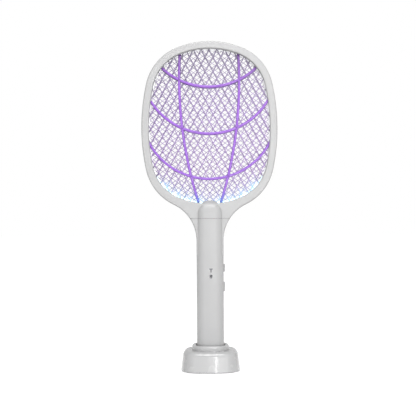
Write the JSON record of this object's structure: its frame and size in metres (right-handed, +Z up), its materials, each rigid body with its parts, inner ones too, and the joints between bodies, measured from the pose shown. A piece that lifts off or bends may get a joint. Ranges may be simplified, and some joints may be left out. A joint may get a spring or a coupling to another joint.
{
  "type": "electric fly swatter with charging dock",
  "caption": "Racket-shaped electric fly swatter with meshes, web-like violet guards and a lure lamp, standing upright in its charging dock.",
  "frame": {"origin": "centre of the dock's footprint, on the surface that it stands on", "axes": "+Z up along the handle, front of the head towards -Y, side controls towards +X"},
  "size_m": [0.1784, 0.073, 0.4317],
  "materials": {
    "grey_shell": "satin moulded ABS, pale warm grey",
    "grey_controls": "satin moulded ABS, the shell's grey",
    "dock_gloss": "polished moulded ABS, pale grey",
    "dock_base": "fine spark texture",
    "guard": "violet polycarbonate",
    "mesh_metal": "expanded aluminium, bright",
    "insulator": "white ABS",
    "clear_lens": "clear polycarbonate light bar",
    "symbol_lens": "smoked polycarbonate",
    "led_tape": "white flexible circuit",
    "uv_led": "violet-blue lamp with a clear top",
    "indicator_led": "clear epoxy",
    "contact_metal": "gold-flashed brass",
    "spring_steel": "spring wire",
    "screw_steel": "zinc-plated",
    "foot_rubber": "soft anti-slip rubber",
    "cell_wrap": "blue heat-shrink sleeve on a steel can",
    "black_plastic": "black nylon",
    "circuit_board": "glass-epoxy board with green solder mask",
    "ferrite": "sintered ferrite",
    "coil_tape": "yellow polyester tape over the windings",
    "film_capacitor": "red-brown epoxy",
    "ceramic_disc": "blue epoxy-dipped disc",
    "resistor_body": "tan coated",
    "switch_steel": "tinned steel",
    "red_wire": "silicone insulation",
    "white_wire": "silicone insulation",
    "black_wire": "silicone insulation"
  },
  "bodies": {
    "dock": {"dock_shell": "dock_gloss", "dock_base_plate": "dock_base", "rubber_foot_ring": "foot_rubber", "dock_screws": "screw_steel", "dock_pcb": "circuit_board", "usb_socket": "switch_steel", "usb_tongue": "black_plastic", "contact_barrels": "contact_metal", "left_contact_spring": "spring_steel", "right_contact_spring": "spring_steel"},
    "racket": {"battery_cell": "cell_wrap", "battery_contacts": "contact_metal", "battery_holder": "black_plastic", "battery_wires": "black_wire", "centre_mesh": "mesh_metal", "charge_pads": "contact_metal", "end_cap": "grey_shell", "front_guard": "guard", "front_mesh": "mesh_metal", "front_spacer": "insulator", "handle_front_shell": "grey_shell", "handle_rear_shell": "grey_shell", "handle_screws": "screw_steel", "head_front_shell": "grey_shell", "head_rear_shell": "grey_shell", "head_screws": "screw_steel", "hv_capacitor": "film_capacitor", "hv_wires": "red_wire", "indicator_leds": "indicator_led", "lamp_symbol_lens": "symbol_lens", "led_strip": "led_tape", "led_window": "clear_lens", "led_wires": "white_wire", "main_pcb": "circuit_board", "mesh_terminals": "contact_metal", "multiplier_capacitors": "ceramic_disc", "rear_guard": "guard", "rear_mesh": "mesh_metal", "rear_spacer": "insulator", "rectifier_diodes": "black_plastic", "resistors": "resistor_body", "slide_switch_body": "switch_steel", "tact_switch_body": "black_plastic", "transformer_coil": "coil_tape", "transformer_core": "ferrite", "transistor": "black_plastic", "uv_leds": "uv_led", "zap_symbol_lens": "symbol_lens"},
    "mode_slider": {"mode_slider_knob": "grey_controls", "slide_switch_lever": "black_plastic"},
    "zap_button": {"zap_button": "grey_controls", "tact_plunger": "black_plastic"},
    "left_pin": {"left_contact_pin": "contact_metal"},
    "right_pin": {"right_contact_pin": "contact_metal"}
  },
  "joints": [
    {"name": "racket_lift", "type": "slide", "parent": "dock", "child": "racket", "axis": [0, 0, 1], "range_m": [0, 0.06]},
    {"name": "mode_slide", "type": "slide", "parent": "racket", "child": "mode_slider", "axis": [0, 0, 1], "range_m": [-0.0025, 0.0025]},
    {"name": "zap_press", "type": "slide", "parent": "racket", "child": "zap_button", "axis": [-1, 0, 0], "range_m": [0, 0.0008], "stiffness_N_per_m": 1500, "springref_m": -0.0004},
    {"name": "left_pin_press", "type": "slide", "parent": "dock", "child": "left_pin", "axis": [0, 0, -1], "range_m": [0, 0.001], "stiffness_N_per_m": 300, "springref_m": -0.001, "deforming": ["left_contact_spring"]},
    {"name": "right_pin_press", "type": "slide", "parent": "dock", "child": "right_pin", "axis": [0, 0, -1], "range_m": [0, 0.001], "stiffness_N_per_m": 300, "springref_m": -0.001, "deforming": ["right_contact_spring"]}
  ]
}
